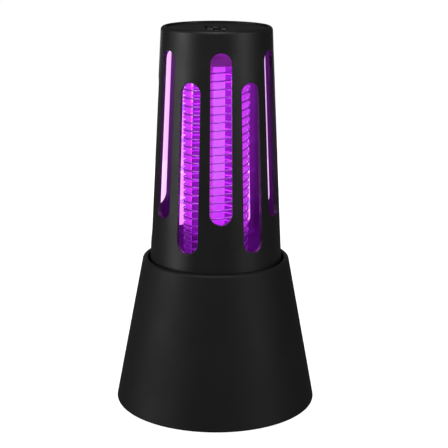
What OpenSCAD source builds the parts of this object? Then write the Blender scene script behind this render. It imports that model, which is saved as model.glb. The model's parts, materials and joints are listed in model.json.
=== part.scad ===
// Rechargeable electric bug zapper: a slotted tower over a wire coil and a lamp, on a cone base.
// Millimetres, +Z up. The origin is the centre of the footprint, on the surface it stands on.
// The button, the charging port and its cover are at the back, towards +Y.

/* [Outer form] */
// Height from the feet to the top rim
total_h = 187; // [180:1:195]
// Radius that the base cone would have at floor level
base_r = 50; // [49:0.5:53]
// Radius of the base at its rim, where the tower goes in
collar_r = 36; // [36:0.5:37]
// Height of the base's rim
collar_z = 73.8; // [73:0.2:75]
// Radius of the tower at its top
tower_top_r = 26.6; // [26.6:0.1:27.4]
// How much the tower's radius grows for each millimetre down
tower_taper = 0.0513; // [0.045:0.001:0.053]
// Wall thickness of the base and the tower
wall = 2.2; // [1.8:0.1:2.4]

/* [Slots] */
// Wall thickness of the tower where it has slots
slotted_wall = 1.8; // [1.4:0.1:1.8]
// Number of slots round the tower, every second one set lower
slot_count = 12; // [10:2:12]
// Width of a slot at its top
slot_top_w = 9.9; // [8:0.1:10.4]
// Width of a slot at its bottom
slot_bottom_w = 10.8; // [9:0.1:11.2]
// Top of the high slots
high_slot_top = 176.9; // [174:0.1:177]
// Bottom of the high slots
high_slot_bottom = 96.8; // [90:0.1:110]
// Top of the low slots
low_slot_top = 163; // [150:0.5:170]
// Bottom of the low slots
low_slot_bottom = 82.4; // [80:0.1:90]

/* [Coil and lamp] */
// Radius of the coil, to the middle of its wire
coil_r = 15.7; // [15:0.1:17]
// Radius of the wire
wire_r = 0.4; // [0.3:0.05:0.5]
// Rise of one wire in one turn; the two wires share it
coil_pitch = 7.8; // [7:0.1:9]
// Height where the winding starts
coil_start = 71.8; // [71.6:0.1:72.4]
// Turns of each wire
coil_turns = 12.3; // [10:0.1:12.3]
// Outer radius of the lamp tube
lamp_r = 4.15; // [3.8:0.05:4.6]

/* [Moving parts] */
// How far the power button goes in
button_travel = 0.8; // [0.5:0.1:0.8]
// Height of the power button's middle
button_z = 29; // [28:0.5:30]
// Height of the charging port's middle
port_z = 14; // [13.5:0.5:15]

/* [Hidden] */
$fn = 96;
fine = 0.01;
foot_h = 0.4;
foot_top = 1.8;
foot_r = 5;
foot_ring_r = 38.6;
plate_t = 2.4;
plate_top = foot_h + plate_t;
plate_r = 46.9;
base_slope = (base_r - collar_r) / collar_z;
wall_tilt = atan(base_slope);
rim_inner_r = tower_r(collar_z) + 1.3;
ledge_r = 29.5;
ledge_t = 2.5;
deck_z = 64;
deck_t = 2.4;
deck_top = deck_z + deck_t;
tower_z = deck_top + 0.3;
tower_low_r = tower_r(tower_z);
clip_groove_r = tower_low_r - wall + 0.6;
boss_ring_r = 40.5;
boss_angles = [20, 160, 250, 290];
deck_screw_r = 31.1;
deck_screw_angles = [30, 150, 270];
clip_angles = [90, 210, 330];
key_angles = [0, 180];
rib_angles = [-105, -15, 75, 165];
rib_in = 12.4;
rib_out = coil_r - wire_r - 0.25;
rib_w = 1.8;
frame_r = 18.6;
frame_t = 4;
frame_top = deck_top + frame_t;
core_cap_z = 169.4;
core_cap_t = 4.6;
core_screw_r = 10.4;
core_screw_angles = [30, 120, 210, 300];
wire_angle_a = -136;
wire_angle_b = 44;
wire_low = deck_z - 3;
lamp_low = deck_top + 1.8;
lamp_top = core_cap_z + 1.4;
ceiling_z = 178.5;
cap_z = ceiling_z + 2.5;
cap_r = 23.9;
cap_screw_r = 22.3;
cap_screw_angles = [45, 165, 285];
pivot_z = total_h - 2.6;
pin_r = 0.7;
loop_rod_r = 1.2;
loop_half_w = 3.4;
loop_leg = 9;
board_z = 26;
board_t = 1.6;
board_top = board_z + board_t;
socket_h = 5.4;
socket_top = board_top + socket_h;
board_posts = [for (x = [-24, 24], y = [-29, 14]) [x, y]];
cell_r = 9.15;
cell_l = 65;
cell_y = -14;
cell_z = plate_top + 1.4 + cell_r;
side_board_y = 34.2;
side_board_t = 1.6;
side_face = side_board_y + side_board_t;
led_z = 20.9;
cover_w = 11.4;
cover_h = 9.2;
cover_t = 1.5;
hinge_drop = 4.7;
hinge_depth = 1.15;
cover_pin_r = 0.4;
knuckle_r = 0.8;

black = "#1b1b1c";
steel = "#b9bbbe";
milky = "#d9cfe6";
glow = "#d95cff";
board_green = "#1f5a3a";

function base_radius(z) = base_r - base_slope * z;
function tower_r(z) = tower_top_r + tower_taper * (total_h - z);
function unit(v) = v / norm(v);
function polar(r, a, z) = [r * cos(a), r * sin(a), z];

// One corner of an outline, rounded to radius r: the arc from one side to the other.
function corner(a, b, c, r, steps) =
    r == 0 ? [b] :
    let (u = unit(a - b), w = unit(c - b), half = acos(u * w) / 2)
    let (m = b + unit(u + w) * r / sin(half), p = b + u * r / tan(half), q = b + w * r / tan(half))
    let (from = atan2(p[1] - m[1], p[0] - m[0]), to = atan2(q[1] - m[1], q[0] - m[0]))
    let (sweep_by = (to - from + 540) % 360 - 180)
    [for (i = [0:steps]) m + r * [cos(from + sweep_by * i / steps), sin(from + sweep_by * i / steps)]];

// An outline from [x, y, corner radius] rows.
function rounded(rows, steps = 6) =
    let (n = len(rows), p = [for (row = rows) [row[0], row[1]]])
    [for (i = [0:n - 1]) each corner(p[(i + n - 1) % n], p[i], p[(i + 1) % n], rows[i][2], steps)];

// The direction of a route at its point i.
function heading(route, i) = unit(route[min(i + 1, len(route) - 1)] - route[max(i - 1, 0)]);

// A closed tube along a route. Each ring starts towards its entry in sides_at, so that the rings line up.
module tube(route, sides_at, r, sides) {
    count = len(route);
    rings = [
        for (i = [0:count - 1])
            let (t = heading(route, i), u = unit(cross(cross(t, sides_at[i]), t)), v = cross(t, u))
            for (k = [0:sides - 1]) route[i] + r * (cos(360 * k / sides) * u + sin(360 * k / sides) * v)
    ];
    walls = [
        for (i = [0:count - 2], k = [0:sides - 1])
            let (a = i * sides + k, b = i * sides + (k + 1) % sides)
            [a, a + sides, b + sides, b]
    ];
    start = [for (k = [0:sides - 1]) k];
    end = [for (k = [sides - 1:-1:0]) (count - 1) * sides + k];
    polyhedron(points = rings, faces = concat(walls, [start, end]), convexity = 4);
}

// A smooth route through hand-chosen points.
function spline_point(a, b, c, d, t) =
    0.5 * (2 * b + (c - a) * t + (2 * a - 5 * b + 4 * c - d) * t * t + (3 * b - a - 3 * c + d) * t * t * t);
function smooth(p, steps = 5) =
    let (n = len(p))
    concat(
        [for (i = [0:n - 2], s = [0:steps - 1])
            spline_point(p[max(i - 1, 0)], p[i], p[i + 1], p[min(i + 2, n - 1)], s / steps)],
        [p[n - 1]]
    );

module lead(points, r = 0.55) {
    route = smooth(points);
    tube(route, [for (p = route) [0.3, 0.5, 0.8]], r, 8);
}

module ring_copies(r, angles) {
    for (a = angles) rotate([0, 0, a]) translate([r, 0, 0]) children();
}

module at_spots(spots) {
    for (s = spots) translate([s[0], s[1], 0]) children();
}

// A pan-head screw standing on its head's underside, with a cross recess.
module screw(head_r, head_h, shank_r, shank_l) {
    slot = head_r * 1.1;
    difference() {
        cylinder(r = head_r, h = head_h, $fn = 32);
        translate([-slot / 2, -0.3, head_h - 0.6]) cube([slot, 0.6, 1]);
        translate([-0.3, -slot / 2, head_h - 0.6]) cube([0.6, slot, 1]);
    }
    translate([0, 0, -shank_l]) cylinder(r = shank_r, h = shank_l + fine, $fn = 32);
}

module rounded_box(size, r) {
    linear_extrude(size[2])
        polygon(rounded([[-size[0] / 2, -size[1] / 2, r], [size[0] / 2, -size[1] / 2, r],
            [size[0] / 2, size[1] / 2, r], [-size[0] / 2, size[1] / 2, r]]));
}

// Puts a shape on the outside of the base at the back: local +Y is outwards, +Z is up the wall.
module on_back_wall(z) {
    translate([0, base_radius(z), z]) rotate([wall_tilt, 0, 0]) children();
}

// The cone between two depths inside the base's outer face.
module base_skin(outer, inner) {
    difference() {
        rotate_extrude()
            polygon([[0, 0], [base_radius(0) - outer, 0], [collar_r - outer, collar_z], [0, collar_z]]);
        rotate_extrude() polygon([[0, -1], [base_radius(-1) - inner, -1],
            [base_radius(collar_z + 1) - inner, collar_z + 1], [0, collar_z + 1]]);
    }
}

module base_shell() {
    low = foot_h;
    shelf = deck_z - ledge_t;
    color(black) difference() {
        union() {
            rotate_extrude() polygon(rounded([
                [base_radius(low), low, 0.7], [collar_r, collar_z, 1.5], [rim_inner_r, collar_z, 0.7],
                [rim_inner_r, deck_z, 0], [ledge_r, deck_z, 0.4], [ledge_r, shelf, 0.4],
                [base_radius(shelf - 5) - wall, shelf - 5, 3], [base_radius(low) - wall, low, 0]
            ]));
            intersection() {
                plate_bosses();
                rotate_extrude()
                    polygon([[0, 0], [base_radius(0) - 1, 0], [collar_r - 1, collar_z], [0, collar_z]]);
            }
            ring_copies(deck_screw_r, deck_screw_angles) translate([0, 0, deck_z - 8])
                cylinder(r = 2.4, h = 7, $fn = 32);
            pocket_backing();
        }
        ring_copies(boss_ring_r, boss_angles) translate([0, 0, plate_top - 1])
            cylinder(r = 1.3, h = 13, $fn = 32);
        ring_copies(deck_screw_r, deck_screw_angles) translate([0, 0, deck_z - 7])
            cylinder(r = 1.1, h = 9, $fn = 32);
        back_openings();
    }
}

// The four screw bosses inside the base, each tied to the wall by a rib.
module plate_bosses() {
    ring_copies(boss_ring_r, boss_angles) {
        translate([0, 0, plate_top]) cylinder(r = 2.8, h = 17, $fn = 32);
        translate([0, -1.3, plate_top]) cube([7, 2.6, 15]);
    }
}

// A thicker patch of wall behind the cover's pocket.
module pocket_backing() {
    intersection() {
        base_skin(wall - 0.5, wall + 1.5);
        translate([0, 30, port_z - 1]) rotate([-90, 0, 0]) rounded_box([cover_w + 6, cover_h + 4, 20], 2);
    }
}

// A bar along the cover's hinge line, centred on the middle of the back.
module hinge_bar(r, length) {
    on_back_wall(port_z) translate([-length / 2, -hinge_depth, -hinge_drop]) rotate([0, 90, 0])
        cylinder(r = r, h = length, $fn = 48);
}

// Holes and the cover's pocket in the back of the base.
module back_openings() {
    translate([0, 30, button_z]) rotate([-90, 0, 0]) cylinder(r = 5.3, h = 30);
    translate([0, 30, led_z]) rotate([-90, 0, 0]) cylinder(r = 1.2, h = 30, $fn = 32);
    translate([0, 30, port_z]) rotate([-90, 0, 0]) rounded_box([9.8, 4.2, 30], 2);
    intersection() {
        base_skin(-2, cover_t + 0.3);
        on_back_wall(port_z) translate([0, 4, -0.4]) rotate([90, 0, 0])
            rounded_box([cover_w + 0.8, cover_h + 1.6, 10], 1.4);
    }
    hinge_bar(knuckle_r + 0.4, cover_w);
    hinge_bar(cover_pin_r + 0.02, cover_w + 3.2);
}

module base_plate() {
    color(black) difference() {
        union() {
            rotate_extrude() polygon(rounded([[0, foot_h, 0], [plate_r, foot_h, 0.5],
                [plate_r, plate_top, 0.3], [0, plate_top, 0]]));
            at_spots(board_posts) translate([0, 0, plate_top])
                cylinder(r = 2.8, h = board_z - plate_top, $fn = 32);
            for (x = [-14.4, 14.4]) translate([x - 1.6, side_board_y - 1.4, plate_top])
                cube([3.2, side_board_t + 2.8, 20]);
        }
        at_spots(board_posts) translate([0, 0, board_z - 8]) cylinder(r = 0.9, h = 9, $fn = 32);
        translate([-13.4, side_board_y - 0.1, plate_top + 0.8]) cube([26.8, side_board_t + 0.2, 40]);
        ring_copies(boss_ring_r, boss_angles) {
            translate([0, 0, foot_h - 1]) cylinder(r = 1.6, h = 10, $fn = 32);
            translate([0, 0, foot_h - 1]) cylinder(r = 3, h = 2.5, $fn = 32);
        }
        ring_copies(foot_ring_r, [45:90:315]) translate([0, 0, foot_h - 1])
            cylinder(r = foot_r + 0.2, h = foot_top - foot_h + 1);
    }
}

module base_screws() {
    color(steel) ring_copies(boss_ring_r, boss_angles) translate([0, 0, foot_h + 1.5]) rotate([180, 0, 0])
        screw(2.7, 1.2, 1.25, 10);
}

module rubber_feet() {
    color("#2a2a2c") ring_copies(foot_ring_r, [45:90:315])
        rotate_extrude()
            polygon(rounded([[0, 0, 0], [foot_r, 0, 0.4], [foot_r, foot_top, 0.2], [0, foot_top, 0]]));
}

module core_deck() {
    color("#202022") difference() {
        union() {
            rotate_extrude() polygon(rounded([[0, deck_z, 0], [rim_inner_r - 0.3, deck_z, 0.3],
                [rim_inner_r - 0.3, deck_top, 0.5], [0, deck_top, 0]]));
            ring_copies(core_screw_r, core_screw_angles) translate([0, 0, deck_z - 6])
                cylinder(r = 2.6, h = 7, $fn = 32);
            for (a = key_angles) rotate([0, 0, a]) translate([tower_low_r - wall + 0.4, -1.6, deck_z + 1])
                cube([1.4, 3.2, deck_t + 1.4]);
        }
        translate([0, 0, deck_z - 1]) cylinder(r = 3, h = deck_t + 2, $fn = 48);
        for (a = [wire_angle_a, wire_angle_b]) translate(polar(coil_r, a, deck_z - 1))
            cylinder(r = 0.9, h = 5, $fn = 24);
        ring_copies(core_screw_r, core_screw_angles) translate([0, 0, deck_z - 5])
            cylinder(r = 1.05, h = 9, $fn = 32);
        ring_copies(deck_screw_r, deck_screw_angles) {
            translate([0, 0, deck_z - 1]) cylinder(r = 1.3, h = 5, $fn = 32);
            translate([0, 0, deck_top - 1.4]) cylinder(r = 2, h = 3, $fn = 32);
        }
        ring_copies(26.5, clip_angles) translate([0, 0, deck_z - 1]) cylinder(r = 0.85, h = 5, $fn = 24);
    }
}

module deck_screws() {
    color(steel) ring_copies(deck_screw_r, deck_screw_angles) translate([0, 0, deck_top - 1.4])
        screw(1.8, 1.1, 1.05, 7);
}

// Three leaf springs whose bulge snaps into the groove inside the tower's foot.
module tower_clips() {
    leaf = tower_low_r - wall - 1.4;
    tip = clip_groove_r - 0.45;
    color(steel) for (a = clip_angles) rotate([0, 0, a]) difference() {
        translate([0, 3, 0]) rotate([90, 0, 0]) linear_extrude(6) polygon([
            [24.4, deck_top], [leaf + 0.5, deck_top], [leaf + 0.5, deck_top + 3.6], [tip, deck_top + 5.2],
            [tip, deck_top + 6], [leaf + 0.5, deck_top + 7.6], [leaf + 0.2, deck_top + 9],
            [leaf - 0.3, deck_top + 9], [leaf, deck_top + 7.4], [tip - 0.6, deck_top + 5.9],
            [tip - 0.6, deck_top + 5.3], [leaf, deck_top + 3.8], [leaf, deck_top + 0.5],
            [24.4, deck_top + 0.5]
        ]);
        translate([26.5, 0, deck_top - 1]) cylinder(r = 0.85, h = 3, $fn = 24);
    }
}

module clip_rivets() {
    color("#8d9094") ring_copies(26.5, clip_angles) {
        translate([0, 0, deck_z - 0.6]) cylinder(r = 0.8, h = deck_t + 1.2, $fn = 24);
        translate([0, 0, deck_top + 0.5]) cylinder(r = 1.5, h = 0.6, $fn = 24);
        translate([0, 0, deck_z - 0.8]) cylinder(r = 1.5, h = 0.8, $fn = 24);
    }
}

// One upright rib with a tooth between every two wires; its wires pass at the given angle.
module coil_rib(angle) {
    rib_top = core_cap_z + 1.5;
    lift = ((angle - wire_angle_a + 720) % 180) / 360 * coil_pitch;
    step = coil_pitch / 2;
    first = coil_start + lift + step / 2;
    count = floor((core_cap_z - 1.2 - first) / step);
    teeth = [
        for (i = [0:count]) let (z = first + i * step)
            each [[rib_out, z - 0.9], [coil_r + 0.5, z - 0.6], [coil_r + 0.5, z + 0.6], [rib_out, z + 0.9]]
    ];
    translate([0, rib_w / 2, 0]) rotate([90, 0, 0]) linear_extrude(rib_w)
        polygon(concat([[rib_in, frame_top - 1], [rib_out, frame_top - 1]], teeth,
            [[rib_out, rib_top], [rib_in, rib_top]]));
}

module coil_frame() {
    color(milky) difference() {
        union() {
            rotate_extrude() polygon(rounded([[0, deck_top, 0], [frame_r, deck_top, 0.3],
                [frame_r, frame_top, 0.9], [0, frame_top, 0]]));
            for (a = rib_angles) rotate([0, 0, a]) coil_rib(a);
        }
        translate([0, 0, deck_top - 1]) cylinder(r = 2.4, h = 8, $fn = 48);
        translate([0, 0, lamp_low]) cylinder(r = lamp_r + 0.1, h = 8, $fn = 64);
        for (a = [wire_angle_a, wire_angle_b]) translate(polar(coil_r, a, deck_top - 1))
            cylinder(r = 0.7, h = 7, $fn = 24);
        ring_copies(core_screw_r, core_screw_angles) {
            translate([0, 0, deck_top - 1]) cylinder(r = 1.3, h = 7, $fn = 32);
            translate([0, 0, frame_top - 1.6]) cylinder(r = 2.3, h = 3, $fn = 32);
        }
    }
}

module core_screws() {
    color(steel) ring_copies(core_screw_r, core_screw_angles) translate([0, 0, frame_top - 1.6])
        screw(2.1, 1.2, 1, 7.4);
}

module core_cap() {
    cap_r_out = 17.4;
    color(milky) difference() {
        rotate_extrude() polygon(rounded([[0, core_cap_z, 0], [cap_r_out, core_cap_z, 0.4],
            [cap_r_out - 0.5, core_cap_z + core_cap_t, 1.2], [2.6, core_cap_z + core_cap_t + 0.6, 0.4],
            [1.8, core_cap_z + 6.6, 0.6], [0, core_cap_z + 6.6, 0]]));
        translate([0, 0, core_cap_z - 1])
            cylinder(r = lamp_r + 0.1, h = lamp_top - core_cap_z + 1.1, $fn = 64);
        for (a = rib_angles) rotate([0, 0, a]) translate([rib_in - 0.1, -rib_w / 2 - 0.1, core_cap_z - 1])
            cube([rib_out - rib_in + 0.2, rib_w + 0.2, 2.6]);
        for (a = [wire_angle_a, wire_angle_b])
            translate(polar(coil_r, a + 360 * coil_turns, core_cap_z - 1))
                cylinder(r = 0.6, h = 3, $fn = 24);
    }
}

// A wire: up from under the deck, round and round, and up into the cap.
module coil_wire(start_angle) {
    per_turn = 30;
    steps = round(coil_turns * per_turn);
    angles = concat([start_angle, start_angle],
        [for (i = [0:steps]) start_angle + i * 360 / per_turn],
        [start_angle + 360 * coil_turns]);
    heights = concat([wire_low, coil_start - 0.7],
        [for (i = [0:steps]) coil_start + i * coil_pitch / per_turn],
        [core_cap_z + 1.4]);
    route = [for (i = [0:len(angles) - 1]) polar(coil_r, angles[i], heights[i])];
    tube(route, [for (a = angles) [cos(a), sin(a), 0]], wire_r, 6);
}

module coil_wire_a() { color("#a9a3b0") coil_wire(wire_angle_a); }
module coil_wire_b() { color("#a9a3b0") coil_wire(wire_angle_b); }

module lamp_tube() {
    color(glow) difference() {
        translate([0, 0, lamp_low]) cylinder(r = lamp_r, h = lamp_top - lamp_low, $fn = 64);
        translate([0, 0, lamp_low - 1]) cylinder(r = lamp_r - 0.8, h = lamp_top - lamp_low - 0.2, $fn = 64);
    }
}

module lamp_plug() {
    color("#e8e4ee") difference() {
        translate([0, 0, lamp_low]) cylinder(r = lamp_r - 0.85, h = 3, $fn = 48);
        translate([-2.3, -0.5, lamp_low - 1]) cube([4.6, 1, 6]);
    }
}

module led_board() {
    color("#e9e9e4") translate([-2.2, -0.4, lamp_low + 0.4]) cube([4.4, 0.8, 95]);
}

module uv_leds() {
    color("#f2f0c8") for (i = [0:10], side = [-1, 1])
        translate([-1, side == 1 ? 0.4 : -1.15, 76 + 8.4 * i]) cube([2, 0.75, 2]);
}

module lamp_leads() {
    color("#3b6fb5") for (x = [-1, 1])
        lead([[x, 0, lamp_low], [x, 0, 60], [3 * x + 4, 5, 50], [2 * x + 14, 6, 42],
            [2 * x + 18, 4, 36], [2 * x + 18, 4, socket_top]]);
}

module hv_leads() {
    color("#b3222a") {
        lead([polar(coil_r, wire_angle_a, wire_low), polar(coil_r, wire_angle_a, 57), [-14, -8, 50],
            [-17, -6, 44], [-17.6, -4.5, 38], [-17.6, -4.5, socket_top]], 0.7);
        lead([polar(coil_r, wire_angle_b, wire_low), polar(coil_r, wire_angle_b, 57), [6, 12, 50],
            [-4, 12, 44], [-8, 11, 40], [-10, 9, 36], [-10, 9, socket_top]], 0.7);
    }
}

module battery_holder() {
    end_x = cell_l / 2 + 2;
    color("#2b2b2e") difference() {
        union() {
            translate([-end_x - 1.4, cell_y - 10, plate_top]) cube([2 * end_x + 2.8, 20, 1.2]);
            for (x = [-1, 1]) translate([x > 0 ? end_x : -end_x - 1.4, cell_y - 8, plate_top])
                cube([1.4, 16, 17]);
            for (x = [-20, 20]) translate([x - 2, cell_y - 10, plate_top]) cube([4, 20, 9]);
        }
        translate([-end_x, cell_y, cell_z]) rotate([0, 90, 0]) cylinder(r = cell_r + 0.1, h = 2 * end_x);
    }
}

module battery_cell() {
    color("#3f6fae") translate([-cell_l / 2, cell_y, cell_z]) rotate([0, 90, 0]) {
        rotate_extrude()
            polygon(rounded([[0, 0, 0], [cell_r, 0, 0.7], [cell_r, cell_l, 0.7], [0, cell_l, 0]]));
        cylinder(r = 3, h = cell_l + 1.5, $fn = 48);
    }
}

module battery_contacts() {
    color("#c9cbcd") {
        for (side = [-1, 1])
            translate([side > 0 ? cell_l / 2 + 1.5 : -cell_l / 2 - 2, cell_y - 4.5, cell_z - 5])
                cube([0.5, 9, 14]);
        translate([-cell_l / 2 - 1.5, cell_y, cell_z]) rotate([0, 90, 0])
            cylinder(r1 = 3.6, r2 = 2.2, h = 1.5, $fn = 32);
    }
}

module battery_leads() {
    tab_x = cell_l / 2 + 2.05;
    z = cell_z + 7.8;
    y = cell_y + 2;
    color("#c63a32") lead([[tab_x, y, z], [tab_x + 0.9, y, z], [36, -9, 25],
        [35, -2, 32], [29, 2, 37], [22, -10, 38], [20, -16, 36], [20, -16, socket_top]]);
    color("#2b2b2b") lead([[-tab_x, y, z], [-tab_x - 0.9, y, z], [-36, -9, 25],
        [-35, -4, 32], [-29, -8, 41], [-20, -20, 42], [0, -24, 40], [16, -22, 38],
        [20, -18.8, 36], [20, -18.8, socket_top]]);
}

module main_board() {
    color(board_green) difference() {
        translate([0, 0, board_z]) intersection() {
            cylinder(r = 39, h = board_t);
            translate([-29.5, -34, -1]) cube([59, 53, 4]);
        }
        at_spots(board_posts) translate([0, 0, board_z - 1]) cylinder(r = 1.1, h = 4, $fn = 32);
    }
}

module board_screws() {
    color(steel) at_spots(board_posts) translate([0, 0, board_top]) screw(1.9, 1.2, 0.85, 7);
}

module transformer_core() {
    color("#3a3a3d") translate([-15, -7, board_top]) {
        difference() {
            cube([18, 10, 14]);
            translate([3, -1, 3]) cube([12, 12, 8]);
        }
        translate([3 - fine, 0.5, 5.6]) cube([12 + 2 * fine, 9, 2.8]);
    }
}

module transformer_winding() {
    color("#d9a441") translate([-11.6, -10, board_top + 3.1]) difference() {
        cube([11.2, 16, 7.8]);
        translate([-1, 3.4, 2.4]) cube([14, 9.2, 3]);
    }
}

module hv_capacitors() {
    color("#8f3b22") for (x = [-24.4, -17.4]) translate([x, -20, board_top])
        rounded_box([5.2, 13, 11], 0.8);
}

module hv_diodes() {
    color("#151517") for (i = [0:3]) translate([-22, 1 + 3.6 * i, board_top + 1.4])
        rotate([0, 90, 0]) cylinder(r = 1.3, h = 5.2, $fn = 32);
}

module drum_inductor() {
    color("#4a4a4e") translate([10, -22, board_top]) rotate_extrude()
        polygon(rounded([[0, 0, 0], [4.5, 0, 0.3], [4.5, 1.2, 0], [3.6, 1.2, 0], [3.6, 6.8, 0],
            [4.5, 6.8, 0], [4.5, 8, 0.3], [0, 8, 0]]));
}

module board_chips() {
    color("#101012") {
        translate([6, -10, board_top]) cube([5, 4, 1.5]);
        translate([4, 4, board_top]) cube([6, 6, 1]);
        translate([-6, -26, board_top]) cube([6.5, 6.2, 2.3]);
    }
}

module board_sockets() {
    color("#efece4") {
        translate([16.5, -21, board_top]) cube([7, 6.5, socket_h]);
        translate([14, 1, board_top]) cube([8, 6, socket_h]);
        translate([-20, -7, board_top]) cube([4.6, 5, socket_h]);
        translate([-12.5, 6.5, board_top]) cube([5, 5, socket_h]);
        translate([6, 12, board_top]) cube([9, 5, socket_h]);
    }
}

module switch_board() {
    color(board_green) translate([-13.2, side_board_y, plate_top + 1]) cube([26.4, side_board_t, 31]);
}

module switch_leads() {
    color("#6d6f73") for (i = [0:3])
        lead([[4 + 2.2 * i, side_board_y, 31], [4 + 2.2 * i, 32, 31.6], [5 + 2.2 * i, 26, 36],
            [7.5 + 2 * i, 18, 38], [7.5 + 2 * i, 14.5, 36], [7.5 + 2 * i, 14.5, socket_top]], 0.45);
}

module charging_port() {
    mouth = base_radius(port_z) - cover_t - 0.7;
    depth = mouth - side_face;
    color("#c3c6ca") translate([0, side_face, port_z]) rotate([-90, 0, 0]) difference() {
        rounded_box([8.9, 3.3, depth], 1.6);
        translate([0, 0, 1]) rounded_box([8.3, 2.7, depth], 1.3);
    }
}

module port_tongue() {
    color("#1a1a1c") translate([-3.3, side_face + 1, port_z - 0.35]) cube([6.6, 5.4, 0.7]);
}

module tact_switch() {
    color("#1f1f22") translate([-3, side_face, button_z - 3]) difference() {
        cube([6, 2.4, 6]);
        translate([3, 1, 3]) rotate([-90, 0, 0]) cylinder(r = 1.75, h = 3, $fn = 48);
    }
}

module status_led() {
    color("#9fe08a") translate([-1, side_face, led_z - 0.7]) cube([2, 1, 1.4]);
}

module light_pipe() {
    outer = base_radius(led_z) - 0.2;
    color("#dfe9dc") translate([0, side_face + 1.3, led_z]) rotate([-90, 0, 0]) {
        cylinder(r = 1.15, h = outer - side_face - 1.3, $fn = 32);
        cylinder(r = 1.8, h = 1, $fn = 32);
    }
}

// One slot's outline, drawn upright and cut outwards from the tower's axis.
module slot_cut(top_z, bottom_z) {
    top_r = slot_top_w / 2;
    bottom_r = slot_bottom_w / 2;
    translate([0, -coil_r - 4, 0]) rotate([90, 0, 0]) linear_extrude(20) {
        translate([0, top_z - top_r]) circle(r = top_r);
        translate([0, bottom_z + bottom_r]) circle(r = bottom_r);
        polygon([[-bottom_r, bottom_z + bottom_r], [bottom_r, bottom_z + bottom_r],
            [top_r, top_z - top_r], [-top_r, top_z - top_r]]);
    }
}

module tower_shell() {
    inner_low = tower_low_r - wall;
    thin_z = low_slot_bottom - 1.5;
    color(black) difference() {
        rotate_extrude() polygon(rounded([
            [tower_low_r, tower_z, 0.6], [tower_top_r, total_h, 2], [cap_r + 0.4, total_h, 0.25],
            [cap_r + 0.4, cap_z, 0], [20.5, cap_z, 0.4], [20.5, ceiling_z, 0.4],
            [tower_r(ceiling_z) - slotted_wall, ceiling_z, 0.4],
            [tower_r(thin_z) - slotted_wall, thin_z, 1],
            [tower_r(thin_z - 1.5) - wall, thin_z - 1.5, 1],
            [tower_r(deck_top + 7.2) - wall, deck_top + 7.2, 0],
            [clip_groove_r, deck_top + 6.9, 0], [clip_groove_r, deck_top + 4.5, 0],
            [inner_low, deck_top + 4.2, 0], [inner_low, tower_z, 0.3]
        ]));
        for (i = [0:slot_count - 1]) rotate([0, 0, i * 360 / slot_count])
            if (i % 2 == 0) slot_cut(high_slot_top, high_slot_bottom);
            else slot_cut(low_slot_top, low_slot_bottom);
        for (a = key_angles) rotate([0, 0, a]) translate([tower_low_r - 4, -2, tower_z - 1])
            cube([6, 4, 3.6]);
        ring_copies(cap_screw_r, cap_screw_angles) translate([0, 0, ceiling_z - 1])
            cylinder(r = 1.25, h = 5, $fn = 32);
    }
}

module top_cap() {
    dish_low = total_h - 1.6;
    edge_z = total_h - 0.9;
    plug_r = 20.1;
    plug_z = ceiling_z + 0.8;
    well_half_w = loop_half_w + loop_rod_r + 0.6;
    dish = [
        for (i = [0:8])
            let (r = (cap_r - 1.6) * (1 - i / 8))
            [r, dish_low + (edge_z - dish_low) * pow(r / cap_r, 2), 0]
    ];
    color(black) difference() {
        rotate_extrude() polygon(rounded(concat([[0, plug_z, 0], [plug_r, plug_z, 0.4], [plug_r, cap_z, 0],
            [cap_r, cap_z, 0.3], [cap_r, edge_z, 0.6]], dish)));
        translate([0, -9, plug_z + 1.2]) rounded_box([6, 17, 10], 2.9);
        translate([0, 6.2, pivot_z - 2.1]) linear_extrude(10) polygon(rounded([[-well_half_w, -8.5, 0.4],
            [well_half_w, -8.5, 0.4], [well_half_w, 8.5, 4.8], [-well_half_w, 8.5, 4.8]]));
        translate([-7, 0, pivot_z]) rotate([0, 90, 0]) cylinder(r = pin_r + 0.02, h = 14, $fn = 32);
        ring_copies(cap_screw_r, cap_screw_angles) translate([0, 0, cap_z - 1])
            cylinder(r = 0.95, h = 4.6, $fn = 32);
    }
}

module cap_screws() {
    color(steel) ring_copies(cap_screw_r, cap_screw_angles) translate([0, 0, ceiling_z])
        rotate([180, 0, 0]) screw(1.6, 1.1, 0.9, 5.6);
}

module loop_pin() {
    color(steel) translate([-6.8, 0, pivot_z]) rotate([0, 90, 0]) cylinder(r = pin_r, h = 13.6, $fn = 32);
}

module hanging_loop() {
    color("#2e2e30") translate([0, 0, pivot_z]) difference() {
        union() {
            for (x = [-loop_half_w, loop_half_w]) {
                translate([x - loop_rod_r, 0, 0]) rotate([0, 90, 0])
                    cylinder(r = 1.75, h = 2 * loop_rod_r, $fn = 48);
                translate([x, 0, 0]) rotate([-90, 0, 0]) cylinder(r = loop_rod_r, h = loop_leg, $fn = 48);
            }
            translate([0, loop_leg, 0]) rotate_extrude(angle = 180) translate([loop_half_w, 0])
                circle(r = loop_rod_r, $fn = 48);
        }
        translate([-7, 0, 0]) rotate([0, 90, 0]) cylinder(r = pin_r + 0.05, h = 14, $fn = 32);
    }
}

module switch_plunger() {
    color("#e3e3df") translate([0, side_face + 2, button_z]) rotate([-90, 0, 0])
        cylinder(r = 1.7, h = 0.6 + button_travel, $fn = 48);
}

// The button's face follows the cone of the base and stands a little proud of it.
module power_button() {
    back = side_face + 2.6 + button_travel;
    flange = base_radius(button_z + 6) - wall - 0.5;
    color("#2c2c2f") {
        translate([0, 0, button_z]) rotate([-90, 0, 0]) {
            translate([0, 0, back]) cylinder(r = 1.5, h = flange - back, $fn = 48);
            translate([0, 0, flange - 0.9]) cylinder(r = 6.1, h = 0.9);
        }
        intersection() {
            translate([0, flange - fine, button_z]) rotate([-90, 0, 0]) cylinder(r = 4.9, h = 10);
            rotate_extrude()
                polygon([[0, 0], [base_radius(0) + 0.6, 0], [collar_r + 0.6, collar_z], [0, collar_z]]);
        }
    }
}

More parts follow.
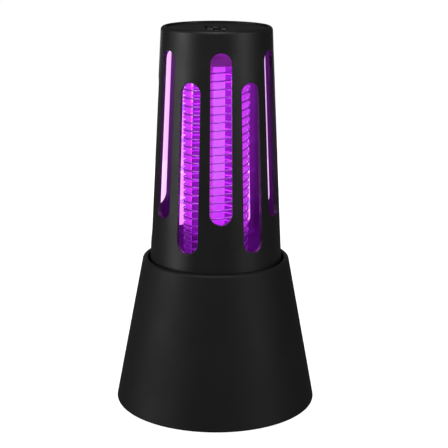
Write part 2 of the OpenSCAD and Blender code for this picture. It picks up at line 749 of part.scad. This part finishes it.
module cover_pin() {
    color(steel) hinge_bar(cover_pin_r, cover_w + 3);
}

module port_cover() {
    color("#242426") difference() {
        union() {
            intersection() {
                base_skin(0, cover_t);
                on_back_wall(port_z) translate([0, 4, 0.9]) rotate([90, 0, 0])
                    rounded_box([cover_w, cover_h - 1.8, 10], 1.2);
            }
            hinge_bar(knuckle_r, cover_w - 2);
            on_back_wall(port_z) translate([-cover_w / 2 + 1, -hinge_depth - 0.3, -hinge_drop])
                cube([cover_w - 2, 0.9, 2.4]);
        }
        hinge_bar(cover_pin_r + 0.05, 2 * cover_w);
    }
}

base_shell();
base_plate();
base_screws();
rubber_feet();
core_deck();
deck_screws();
tower_clips();
clip_rivets();
coil_frame();
core_screws();
core_cap();
coil_wire_a();
coil_wire_b();
lamp_tube();
lamp_plug();
led_board();
uv_leds();
lamp_leads();
hv_leads();
battery_holder();
battery_cell();
battery_contacts();
battery_leads();
main_board();
board_screws();
transformer_core();
transformer_winding();
hv_capacitors();
hv_diodes();
drum_inductor();
board_chips();
board_sockets();
switch_board();
switch_leads();
charging_port();
port_tongue();
tact_switch();
status_led();
light_pipe();
tower_shell();
top_cap();
cap_screws();
loop_pin();
hanging_loop();
switch_plunger();
power_button();
cover_pin();
port_cover();
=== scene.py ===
"""Looks of the electric bug zapper: materials, smooth coil wires, camera, floor and studio light.

Everything is in metres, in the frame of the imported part: +Z up, the power button towards +Y.
"""

import json
import math

import bpy
from mathutils import Matrix, Vector


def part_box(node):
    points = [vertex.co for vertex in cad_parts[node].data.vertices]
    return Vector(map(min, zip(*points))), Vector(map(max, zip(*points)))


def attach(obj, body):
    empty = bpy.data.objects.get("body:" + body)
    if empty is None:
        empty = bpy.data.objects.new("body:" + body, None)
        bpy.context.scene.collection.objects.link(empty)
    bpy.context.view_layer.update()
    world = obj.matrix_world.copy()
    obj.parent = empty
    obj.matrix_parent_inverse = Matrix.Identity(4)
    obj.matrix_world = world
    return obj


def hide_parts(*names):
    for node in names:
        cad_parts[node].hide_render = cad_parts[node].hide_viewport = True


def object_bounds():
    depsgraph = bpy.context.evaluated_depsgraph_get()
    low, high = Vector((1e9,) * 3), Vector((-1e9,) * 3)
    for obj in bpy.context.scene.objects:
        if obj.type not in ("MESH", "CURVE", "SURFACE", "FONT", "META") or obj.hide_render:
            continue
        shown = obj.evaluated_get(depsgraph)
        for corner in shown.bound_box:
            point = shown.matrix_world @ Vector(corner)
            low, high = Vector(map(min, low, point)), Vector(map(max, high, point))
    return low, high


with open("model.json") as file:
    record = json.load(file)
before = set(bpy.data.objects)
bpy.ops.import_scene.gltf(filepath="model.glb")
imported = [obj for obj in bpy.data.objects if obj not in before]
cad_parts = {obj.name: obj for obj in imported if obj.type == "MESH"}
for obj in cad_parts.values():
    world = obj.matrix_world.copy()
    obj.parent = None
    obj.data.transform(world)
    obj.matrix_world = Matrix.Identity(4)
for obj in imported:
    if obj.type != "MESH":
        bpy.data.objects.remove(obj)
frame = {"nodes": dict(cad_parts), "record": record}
cad_low, cad_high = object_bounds()

MM = 0.001

# The coil, as in the part's source: two wires, half a turn apart.
COIL_R = 15.7 * MM
WIRE_R = 0.4 * MM
COIL_PITCH = 7.8 * MM
COIL_TURNS = 12.3
COIL_START = 71.8 * MM
WIRE_START_ANGLES = {"coil_wire_a": -136, "coil_wire_b": 44}
WIRE_BEND = 0.7 * MM
POINTS_PER_TURN = 60

# The camera: where it stands and how it looks, found from the object's outline.
CAMERA_AZIMUTH = -4.5
CAMERA_DISTANCE = 593.8 * MM
CAMERA_HEIGHT = 243.7 * MM
CAMERA_PITCH = 14.54
CAMERA_ROLL = 0.26
CAMERA_LENS = 99.8
CAMERA_SHIFT = 0.018
CAMERA_SEES = (0.05, 50)

# The black of both shells.
BLACK = (0.0085, 0.0085, 0.0088)

# The lamp is lit from this height up, with a fade to each side of it. Its glass pales over
# LAMP_PALES above that, and deepens again from LAMP_DEEPENS under its top.
LIT_FROM = 88 * MM
LIT_FADE = 2 * MM
LAMP_PALES = 28 * MM
LAMP_DEEPENS = 14 * MM

# Small violet lights inside the lamp.
CORE_LIGHTS = 5
CORE_LIGHT_POWER = 0.04
CORE_LIGHT_RADIUS = 3.5 * MM
CORE_LIGHT_COLOUR = (0.74, 0.09, 1.0)

# Painted light: volumes that glow violet and tint what is seen through them stand in for the lamp's
# light in the tower.
# The painted glow in the tower: where it starts and ends, the gap between its layers, its radii and
# its density. Each pair of glows is the brightness at the bottom and how much the top adds to it.
GLOW_LAYERS = 6
GLOW_OVER_FRAME, GLOW_UNDER_CAP, GLOW_UNDER_LIT = 6 * MM, 1.4 * MM, MM
GLOW_GAP = 0.01 * MM
GLOW_WIDE, GLOW_NARROW, GLOW_INNER, GLOW_CORE = 29.5 * MM, 25.3 * MM, 19 * MM, 13 * MM
GLOW_TINT = (0.84, 0.0, 0.97)
GLOW_COLOUR = (0.56, 0.035, 0.95)
GLOW_TINT_DENSITY, GLOW_LOW_TINT_DENSITY = 27, 30
GLOW_OUTER_STRENGTH = (1.2, 2.8)
GLOW_INNER_STRENGTH = (3.2, 3.2)
GLOW_CORE_STRENGTH, GLOW_LOW_STRENGTH = 11.0, 2.6
ROUND_SIDES = 64

# The world's brightness for light and reflections, and for the camera; the floor's size and glow.
WORLD_FOR_LIGHT, WORLD_SEEN = 0.07, 1.0
FLOOR_HALF = 6.0
FLOOR_GLOW = 0.93


# ---------------------------------------------------------------- materials


class Finish:
    """One procedural material. Its texture coordinates are the object's own, in metres."""

    def __init__(self, name, base, roughness, metallic=0.0):
        self.material = bpy.data.materials.new(name)
        self.material.use_nodes = True
        self.tree = self.material.node_tree
        self.shader = self.tree.nodes["Principled BSDF"]
        self.shader.inputs["Base Color"].default_value = (*base, 1)
        self.shader.inputs["Roughness"].default_value = roughness
        self.shader.inputs["Metallic"].default_value = metallic
        self.base = base
        self.roughness = roughness
        self.place = self.add("ShaderNodeTexCoord").outputs["Object"]

    def add(self, kind, **settings):
        node = self.tree.nodes.new(kind)
        for key, value in settings.items():
            setattr(node, key, value)
        return node

    def link(self, a, b):
        self.tree.links.new(a, b)

    def noise(self, size, detail=3.0, place=None):
        """Noise whose features are about that many metres across."""
        node = self.add("ShaderNodeTexNoise")
        node.inputs["Scale"].default_value = 1 / size
        node.inputs["Detail"].default_value = detail
        self.link(place or self.place, node.inputs["Vector"])
        return node.outputs["Fac"]

    def stretched(self, scale):
        """The object's coordinates, scaled per axis, for brushed or drawn surfaces."""
        node = self.add("ShaderNodeMapping")
        node.inputs["Scale"].default_value = scale
        self.link(self.place, node.inputs["Vector"])
        return node.outputs["Vector"]

    def spread(self, value, low, high, from_low=0.3, from_high=0.7):
        """The value, stretched from one range to another. Noise lies mostly within 0.3 to 0.7."""
        node = self.add("ShaderNodeMapRange")
        node.inputs["From Min"].default_value = from_low
        node.inputs["From Max"].default_value = from_high
        node.inputs["To Min"].default_value = low
        node.inputs["To Max"].default_value = high
        self.link(value, node.inputs["Value"])
        return node.outputs["Result"]

    def mixed(self, factor, a, b):
        """Colour a where the factor is 0 and b where it is 1."""
        node = self.add("ShaderNodeMix", data_type="RGBA")
        self.link(factor, node.inputs["Factor"])
        for socket, colour in ((node.inputs["A"], a), (node.inputs["B"], b)):
            if isinstance(colour, tuple):
                socket.default_value = (*colour, 1)
            else:
                self.link(colour, socket)
        return node.outputs["Result"]

    def edges(self, radius):
        """(normal with softened edges, mask that is 1 on sharp edges)."""
        soft = self.add("ShaderNodeBevel", samples=6)
        soft.inputs["Radius"].default_value = radius
        plain = self.add("ShaderNodeNewGeometry").outputs["Normal"]
        turned = self.add("ShaderNodeVectorMath", operation="DOT_PRODUCT")
        self.link(soft.outputs["Normal"], turned.inputs[0])
        self.link(plain, turned.inputs[1])
        return soft.outputs["Normal"], self.spread(turned.outputs["Value"], 1.0, 0.0, 0.8, 0.99)

    def bump(self, height, distance, normal=None):
        node = self.add("ShaderNodeBump")
        node.inputs["Strength"].default_value = 1.0
        node.inputs["Distance"].default_value = distance
        self.link(height, node.inputs["Height"])
        if normal is not None:
            self.link(normal, node.inputs["Normal"])
        return node.outputs["Normal"]

    def height(self, low, high, from_low, from_high):
        """low beneath the height from_low, high above the height from_high, even between them."""
        axis = self.add("ShaderNodeSeparateXYZ")
        self.link(self.place, axis.inputs["Vector"])
        return self.spread(axis.outputs["Z"], low, high, from_low, from_high)

    def lit(self, low=0.0, high=1.0):
        """high where the lamp is lit and low beneath it."""
        return self.height(low, high, LIT_FROM - LIT_FADE, LIT_FROM + LIT_FADE)

    def times(self, a, b):
        node = self.add("ShaderNodeMath", operation="MULTIPLY")
        self.link(a, node.inputs[0])
        self.link(b, node.inputs[1])
        return node.outputs["Value"]

    def set(self, socket, value):
        if isinstance(value, bpy.types.NodeSocket):
            self.link(value, self.shader.inputs[socket])
        else:
            self.shader.inputs[socket].default_value = value

    def moulded(self, grain=0.35 * MM, depth=0.012 * MM, edge=0.35 * MM, wear=0.35):
        """Fine moulded grain, uneven gloss, handling marks and paler, smoother edges."""
        soft, rim = self.edges(edge)
        fine = self.noise(grain, 4.0)
        patches = self.noise(22 * MM, 4.0)
        rubbed = self.times(rim, self.spread(self.noise(2.5 * MM, 5.0), 0.0, wear, 0.35, 0.65))
        pale = tuple(min(1.0, 0.02 + 1.9 * c) for c in self.base)
        deep = tuple(0.8 * c for c in self.base)
        body = self.mixed(self.spread(patches, 0.0, 1.0), deep, self.base)
        self.set("Base Color", self.mixed(rubbed, body, pale))
        self.set("Roughness", self.spread(patches, self.roughness - 0.05, self.roughness + 0.05))
        self.set("Normal", self.bump(fine, depth, soft))
        return self

    def glows(self, colour, strength):
        self.set("Emission Color", (*colour, 1) if isinstance(colour, tuple) else colour)
        self.set("Emission Strength", strength)
        return self


def shell_plastic():
    return Finish("shell_plastic", BLACK, 0.47).moulded()


def base_plastic():
    """The base: the same black plastic, moulded a little coarser and duller."""
    finish = Finish("base_plastic", BLACK, 0.6).moulded(grain=0.45 * MM)
    finish.set("Specular IOR Level", 0.37)
    return finish


def deck_plastic():
    return Finish("deck_plastic", (0.012, 0.011, 0.013), 0.42).moulded(wear=0.2)


def loop_plastic():
    finish = Finish("loop_plastic", (0.014, 0.014, 0.0145), 0.36)
    return finish.moulded(grain=0.2 * MM, edge=0.15 * MM)


def button_plastic():
    finish = Finish("button_plastic", (0.013, 0.013, 0.0135), 0.34)
    return finish.moulded(grain=0.2 * MM, edge=0.25 * MM)


def socket_plastic():
    finish = Finish("socket_plastic", (0.78, 0.74, 0.64), 0.38)
    return finish.moulded(grain=0.3 * MM, edge=0.15 * MM, wear=0.1)


def chip_resin():
    finish = Finish("chip_resin", (0.014, 0.014, 0.015), 0.55)
    return finish.moulded(grain=0.15 * MM, edge=0.1 * MM)


def ferrite():
    finish = Finish("ferrite", (0.035, 0.035, 0.038), 0.62)
    return finish.moulded(grain=0.25 * MM, depth=0.03 * MM)


def capacitor_resin():
    finish = Finish("capacitor_resin", (0.26, 0.05, 0.025), 0.22)
    return finish.moulded(grain=1.2 * MM, edge=0.5 * MM)


def foot_rubber():
    finish = Finish("foot_rubber", (0.02, 0.02, 0.021), 0.8)
    finish.moulded(grain=0.12 * MM, depth=0.03 * MM)
    finish.set("Specular IOR Level", 0.3)
    return finish


def clear_plastic():
    finish = Finish("clear_plastic", (0.82, 0.9, 0.84), 0.18)
    finish.moulded(grain=0.6 * MM, edge=0.15 * MM, wear=0.1)
    finish.set("Transmission Weight", 0.6)
    return finish


def metal(name, base, roughness, along, edge=0.12 * MM):
    """Brushed or drawn metal: fine lines, tarnish in patches, brighter edges."""
    finish = Finish(name, base, roughness, 1.0)
    soft, rim = finish.edges(edge)
    lines = finish.noise(0.15 * MM, 3.0, finish.stretched(along))
    tarnish = finish.spread(finish.noise(3 * MM, 4.0), 0.0, 0.5, 0.4, 0.75)
    dull = tuple(0.6 * c for c in base)
    bright = tuple(min(1.0, 1.25 * c) for c in base)
    finish.set("Base Color", finish.mixed(rim, finish.mixed(tarnish, base, dull), bright))
    finish.set("Roughness", finish.spread(lines, roughness - 0.08, roughness + 0.1))
    finish.set("Normal", finish.bump(lines, 0.01 * MM, soft))
    return finish


def steel():
    return metal("steel", (0.56, 0.57, 0.58), 0.3, (1, 1, 0.15))


def spring_steel():
    return metal("spring_steel", (0.5, 0.5, 0.53), 0.26, (1, 1, 0.1))


def dark_steel():
    return metal("dark_steel", (0.03, 0.03, 0.032), 0.5, (0.15, 1, 1))


def port_metal():
    return metal("port_metal", (0.66, 0.67, 0.69), 0.22, (0.15, 1, 1))


def coil_wire():
    """Plain drawn wire; a violet tint and a painted violet glow, even all over, stand in for the
    lamp behind and inside lighting it.
    """
    return metal("coil_wire", (0.5, 0.4, 0.56), 0.38, (1, 1, 1)).glows((0.25, 0.015, 0.4), 0.3)


def milky_plastic():
    """Translucent white plastic, tinted violet, with the lamp's light on it painted as a glow where
    the lamp is lit, dimmed from just under the core cap upwards.
    """
    finish = Finish("milky_plastic", (0.3, 0.14, 0.38), 0.4)
    finish.moulded(grain=0.5 * MM, edge=0.3 * MM, wear=0.1)
    # Painted glow: the lamp's violet light on this plastic, given as cloudy emission.
    cloud = finish.spread(finish.noise(7 * MM, 3.0), 0.0, 1.0)
    painted_glow_colour = finish.mixed(cloud, (0.4, 0.03, 0.5), (0.56, 0.07, 0.66))
    cap_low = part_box("core_cap")[0].z
    ending = finish.height(1.0, 0.3, cap_low - 4 * MM, cap_low + MM)
    return finish.glows(painted_glow_colour, finish.times(finish.lit(0.02, 0.85), ending))


def lamp_glass():
    """Frosted tube, lit from inside: paler in its middle, deeper violet at its ends."""
    finish = Finish("lamp_glass", (0.3, 0.12, 0.36), 0.35)
    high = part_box("lamp_tube")[1]
    rising = finish.height(0.0, 1.0, LIT_FROM, LIT_FROM + LAMP_PALES)
    ending = finish.height(0.0, 1.0, high.z - LAMP_DEEPENS, high.z + 4 * MM)
    frost = finish.noise(0.4 * MM, 4.0)
    cloud = finish.spread(finish.noise(9 * MM, 2.0), 0.0, 0.25)
    warm = finish.mixed(rising, (0.42, 0.003, 0.68), (0.5, 0.22, 0.62))
    ends = finish.mixed(ending, warm, (0.36, 0.012, 0.55))
    finish.set("Normal", finish.bump(frost, 0.02 * MM))
    finish.set("Roughness", finish.spread(frost, 0.3, 0.45))
    glowing = finish.mixed(cloud, ends, (0.45, 0.1, 0.62))
    return finish.glows(glowing, finish.lit(0.05))


def led_chip():
    finish = Finish("led_chip", (0.8, 0.76, 0.45), 0.3)
    finish.moulded(grain=0.2 * MM, edge=0.1 * MM, wear=0.1)
    return finish.glows((0.9, 0.4, 1.0), 1.5)


def board(name, base, tone):
    """A circuit board under solder mask: copper tracks show as slightly paler lines."""
    finish = Finish(name, base, 0.32)
    soft, rim = finish.edges(0.1 * MM)
    cells = finish.add("ShaderNodeTexVoronoi", feature="DISTANCE_TO_EDGE", distance="MANHATTAN")
    cells.inputs["Scale"].default_value = 1 / (4 * MM)
    finish.link(finish.place, cells.inputs["Vector"])
    tracks = finish.spread(cells.outputs["Distance"], 1.0, 0.0, 0.05, 0.09)
    coated = finish.mixed(tracks, base, tone)
    finish.set("Base Color", finish.mixed(rim, coated, (0.5, 0.46, 0.34)))
    finish.set("Roughness", finish.spread(finish.noise(6 * MM), 0.24, 0.4))
    finish.set("Normal", finish.bump(tracks, 0.03 * MM, soft))
    return finish


def board_green():
    return board("board_green", (0.012, 0.1, 0.045), (0.025, 0.19, 0.08))


def board_white():
    return board("board_white", (0.74, 0.74, 0.72), (0.84, 0.84, 0.8))


def insulation(name, base):
    """The plain coloured sleeve of a lead."""
    finish = Finish(name, base, 0.42)
    finish.moulded(grain=0.5 * MM, depth=0.02 * MM, edge=0.1 * MM, wear=0.1)
    finish.set("Sheen Weight", 0.15)
    return finish


def lead_blue():
    return insulation("lead_blue", (0.02, 0.075, 0.32))


def lead_red():
    return insulation("lead_red", (0.36, 0.012, 0.012))


def lead_grey():
    return insulation("lead_grey", (0.13, 0.135, 0.145))


def cell_wrap():
    """Shrink sleeve: glossy, with faint lengthwise creases."""
    finish = Finish("cell_wrap", (0.03, 0.11, 0.32), 0.24)
    soft, rim = finish.edges(0.4 * MM)
    creases = finish.noise(2 * MM, 4.0, finish.stretched((0.12, 1, 1)))
    finish.set("Base Color", finish.mixed(rim, finish.base, (0.07, 0.2, 0.45)))
    finish.set("Roughness", finish.spread(finish.noise(8 * MM), 0.18, 0.34))
    finish.set("Normal", finish.bump(creases, 0.08 * MM, soft))
    return finish


def winding_tape():
    """Amber film tape wound round the coil: overlapping turns."""
    finish = Finish("winding_tape", (0.6, 0.33, 0.04), 0.22)
    soft, rim = finish.edges(0.3 * MM)
    turns = finish.noise(0.9 * MM, 2.0, finish.stretched((1, 0.1, 0.1)))
    finish.set("Base Color", finish.mixed(rim, finish.base, (0.75, 0.45, 0.09)))
    finish.set("Roughness", finish.spread(turns, 0.16, 0.34))
    finish.set("Normal", finish.bump(turns, 0.06 * MM, soft))
    return finish


FINISHES = [
    shell_plastic, base_plastic, deck_plastic, foot_rubber, steel, spring_steel, dark_steel,
    loop_plastic, button_plastic, milky_plastic, coil_wire, lamp_glass, board_white, led_chip,
    clear_plastic, lead_blue, lead_red, lead_grey, cell_wrap, board_green, ferrite, winding_tape,
    capacitor_resin, chip_resin, socket_plastic, port_metal,
]
materials = {make.__name__: make().material for make in FINISHES}

for part in frame["record"]["subparts"]:
    mesh = frame["nodes"][part["node"]].data
    mesh.materials.clear()
    mesh.materials.append(materials[part["material_slot"]])


# ---------------------------------------------------------------- coil wires


def round_wire(name, points, radius):
    """A smooth round wire along points, as a mesh."""
    curve = bpy.data.curves.new(name, "CURVE")
    curve.dimensions = "3D"
    curve.bevel_depth = radius
    curve.bevel_resolution = 3
    curve.use_fill_caps = True
    line = curve.splines.new("POLY")
    line.points.add(len(points) - 1)
    for point, place in zip(line.points, points):
        point.co = (*place, 1)
    line.use_smooth = True
    shape = bpy.data.objects.new(name, curve)
    bpy.context.scene.collection.objects.link(shape)
    bpy.context.view_layer.update()
    graph = bpy.context.evaluated_depsgraph_get()
    mesh = bpy.data.meshes.new_from_object(shape.evaluated_get(graph))
    bpy.data.objects.remove(shape)
    mesh.shade_smooth()
    wire = bpy.data.objects.new(name, mesh)
    bpy.context.scene.collection.objects.link(wire)
    return wire


def coil_points(start_angle, low, high):
    """Up from under the deck, round and round, and up into the cap."""
    steps = round(COIL_TURNS * POINTS_PER_TURN)
    turns = [
        (start_angle + 360 * i / POINTS_PER_TURN, COIL_START + COIL_PITCH * i / POINTS_PER_TURN)
        for i in range(steps + 1)
    ]
    ends = [(start_angle, low), (start_angle, COIL_START - WIRE_BEND)]
    last = (start_angle + 360 * COIL_TURNS, high)
    return [
        (COIL_R * math.cos(math.radians(a)), COIL_R * math.sin(math.radians(a)), z)
        for a, z in [*ends, *turns, last]
    ]


for node, start_angle in WIRE_START_ANGLES.items():
    low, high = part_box(node)
    wire = round_wire(node + "_round", coil_points(start_angle, low.z, high.z), WIRE_R)
    wire.data.materials.append(materials["coil_wire"])
    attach(wire, "base")
    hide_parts(node)


# ---------------------------------------------------------------- glow


def disc_stack(name, rings):
    """A closed solid of revolution about Z from (radius, height) rings."""
    sides = ROUND_SIDES
    verts = [
        (r * math.cos(2 * math.pi * k / sides), r * math.sin(2 * math.pi * k / sides), z)
        for r, z in rings
        for k in range(sides)
    ]
    last = (len(rings) - 1) * sides
    faces = [
        (i + k, i + (k + 1) % sides, i + sides + (k + 1) % sides, i + sides + k)
        for i in range(0, last, sides)
        for k in range(sides)
    ]
    faces += [tuple(reversed(range(sides))), tuple(range(last, last + sides))]
    mesh = bpy.data.meshes.new(name)
    mesh.from_pydata(verts, [], faces)
    shape = bpy.data.objects.new(name, mesh)
    bpy.context.scene.collection.objects.link(shape)
    return shape


def painted_glow_volume(name, radii, low, high, density, strength):
    """One layer of the tower's painted violet glow: a volume that glows violet and takes green out
    of what is seen through it.
    """
    glow = disc_stack(name, [(radii[0], low), (radii[1], high - GLOW_GAP)])
    material = bpy.data.materials.new(name)
    material.use_nodes = True
    nodes, links = material.node_tree.nodes, material.node_tree.links
    nodes.remove(nodes["Principled BSDF"])
    violet_absorption = nodes.new("ShaderNodeVolumeAbsorption")
    violet_absorption.inputs["Color"].default_value = (*GLOW_TINT, 1)
    violet_absorption.inputs["Density"].default_value = density
    violet_emission = nodes.new("ShaderNodeEmission")
    violet_emission.inputs["Color"].default_value = (*GLOW_COLOUR, 1)
    violet_emission.inputs["Strength"].default_value = strength
    both = nodes.new("ShaderNodeAddShader")
    links.new(violet_absorption.outputs[0], both.inputs[0])
    links.new(violet_emission.outputs[0], both.inputs[1])
    links.new(both.outputs[0], nodes["Material Output"].inputs["Volume"])
    glow.data.materials.append(material)
    glow.visible_shadow = False


def violet_glow():
    """The painted glow fills the tower where the lamp is lit, grows upwards and is strongest
    inside.
    """
    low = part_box("coil_frame")[0].z + GLOW_OVER_FRAME
    edge = LIT_FROM - GLOW_UNDER_LIT
    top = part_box("top_cap")[0].z - GLOW_UNDER_CAP
    for i in range(GLOW_LAYERS):
        floor, ceiling = (edge + (top - edge) * k / GLOW_LAYERS for k in (i, i + 1))
        slant = GLOW_NARROW - GLOW_WIDE
        radii = [GLOW_WIDE + slant * k / GLOW_LAYERS for k in (i, i + 1)]
        outer_glow, inner_glow = (
            bottom + more * (i / (GLOW_LAYERS - 1))
            for bottom, more in (GLOW_OUTER_STRENGTH, GLOW_INNER_STRENGTH)
        )
        painted_glow_volume(f"violet_haze_{i + 1}", radii, floor, ceiling, GLOW_TINT_DENSITY, outer_glow)
        inner = (GLOW_INNER, GLOW_INNER)
        painted_glow_volume(f"painted_inner_glow_{i + 1}", inner, floor, ceiling, 0, inner_glow)
    core = (GLOW_CORE, GLOW_CORE)
    painted_glow_volume("violet_haze_core", core, edge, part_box("core_cap")[0].z, 0, GLOW_CORE_STRENGTH)
    wide = (GLOW_WIDE, GLOW_WIDE)
    painted_glow_volume("violet_haze_low", wide, low, edge, GLOW_LOW_TINT_DENSITY, GLOW_LOW_STRENGTH)


violet_glow()


# ---------------------------------------------------------------- light


def soft_box(name, azimuth, elevation, distance, size, power):
    """A rectangular light that stands at that angle round the object and faces its middle."""
    a, e = math.radians(azimuth), math.radians(elevation)
    away = Vector((math.sin(a) * math.cos(e), -math.cos(a) * math.cos(e), math.sin(e)))
    lamp = bpy.data.lights.new(name, "AREA")
    lamp.shape = "RECTANGLE"
    lamp.size, lamp.size_y = size
    lamp.energy = power
    holder = bpy.data.objects.new(name, lamp)
    holder.location = middle + away * distance
    holder.rotation_euler = away.to_track_quat("Z", "Y").to_euler()
    bpy.context.scene.collection.objects.link(holder)
    return holder


def core_lights():
    """Small violet lights up the middle of the coil."""
    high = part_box("lamp_tube")[1]
    frame["nodes"]["lamp_tube"].visible_shadow = False
    for i in range(CORE_LIGHTS):
        lamp = bpy.data.lights.new(f"core_light_{i + 1}", "POINT")
        lamp.energy = CORE_LIGHT_POWER
        lamp.color = CORE_LIGHT_COLOUR
        lamp.shadow_soft_size = CORE_LIGHT_RADIUS
        holder = bpy.data.objects.new(lamp.name, lamp)
        holder.location = (0, 0, LIT_FROM + (high.z - LIT_FROM) * (i + 0.5) / CORE_LIGHTS)
        bpy.context.scene.collection.objects.link(holder)


middle = Vector((0, 0, (cad_low.z + cad_high.z) / 2))
soft_box("left_box", azimuth=-76, elevation=8, distance=1.0, size=(0.4, 0.8), power=4.0)
soft_box("right_box", azimuth=50, elevation=16, distance=1.1, size=(0.26, 0.8), power=2.9)
soft_box("front_box", azimuth=-12, elevation=10, distance=1.3, size=(0.7, 0.7), power=0.45)
soft_box("top_box", azimuth=-10, elevation=64, distance=1.2, size=(0.7, 0.5), power=5.0)
back_box = soft_box("back_box", azimuth=180, elevation=0, distance=0.6, size=(0.6, 0.16), power=0.3)
back_box.visible_camera = False
core_lights()


# ---------------------------------------------------------------- stage


def pale_floor():
    """A wide plain floor, near white, that the object's own reflections leave out."""
    corners = [(-1, -1), (1, -1), (1, 1), (-1, 1)]
    mesh = bpy.data.meshes.new("floor")
    mesh.from_pydata(
        [(x * FLOOR_HALF, y * FLOOR_HALF, cad_low.z) for x, y in corners], [], [(0, 1, 2, 3)]
    )
    floor = bpy.data.objects.new("floor", mesh)
    bpy.context.scene.collection.objects.link(floor)
    finish = Finish("floor", (0.86, 0.86, 0.86), 0.9)
    cloud = finish.spread(finish.noise(0.5), 0.0, 1.0)
    finish.set("Base Color", finish.mixed(cloud, (0.84, 0.84, 0.84), (0.87, 0.87, 0.87)))
    finish.set("Specular IOR Level", 0.0)
    finish.glows((1.0, 1.0, 1.0), FLOOR_GLOW)
    mesh.materials.append(finish.material)
    floor.visible_glossy = False
    floor.visible_diffuse = False


def studio_world():
    """White behind the object; dim for light and reflections."""
    world = bpy.data.worlds.new("studio")
    world.use_nodes = True
    nodes, links = world.node_tree.nodes, world.node_tree.links
    seen = nodes["Background"]
    seen.inputs["Color"].default_value = (1, 1, 1, 1)
    rays = nodes.new("ShaderNodeLightPath")
    level = nodes.new("ShaderNodeMapRange")
    level.inputs["To Min"].default_value = WORLD_FOR_LIGHT
    level.inputs["To Max"].default_value = WORLD_SEEN
    links.new(rays.outputs["Is Camera Ray"], level.inputs["Value"])
    links.new(level.outputs["Result"], seen.inputs["Strength"])
    bpy.context.scene.world = world


def main_camera():
    """The camera, on its azimuth round the object, tilted down by its pitch."""
    a = math.radians(CAMERA_AZIMUTH)
    camera = bpy.data.cameras.new("camera")
    camera.lens = CAMERA_LENS
    camera.shift_x = CAMERA_SHIFT
    camera.clip_start, camera.clip_end = CAMERA_SEES
    holder = bpy.data.objects.new("camera", camera)
    place = Vector((CAMERA_DISTANCE * math.sin(a), -CAMERA_DISTANCE * math.cos(a), CAMERA_HEIGHT))
    turn = (
        Matrix.Rotation(a, 4, "Z")
        @ Matrix.Rotation(math.radians(90 - CAMERA_PITCH), 4, "X")
        @ Matrix.Rotation(math.radians(CAMERA_ROLL), 4, "Z")
    )
    holder.matrix_world = Matrix.Translation(place) @ turn
    bpy.context.scene.collection.objects.link(holder)
    bpy.context.scene.camera = holder


pale_floor()
studio_world()
main_camera()
bpy.context.scene.view_settings.view_transform = "Standard"
bpy.context.scene.cycles.use_denoising = True
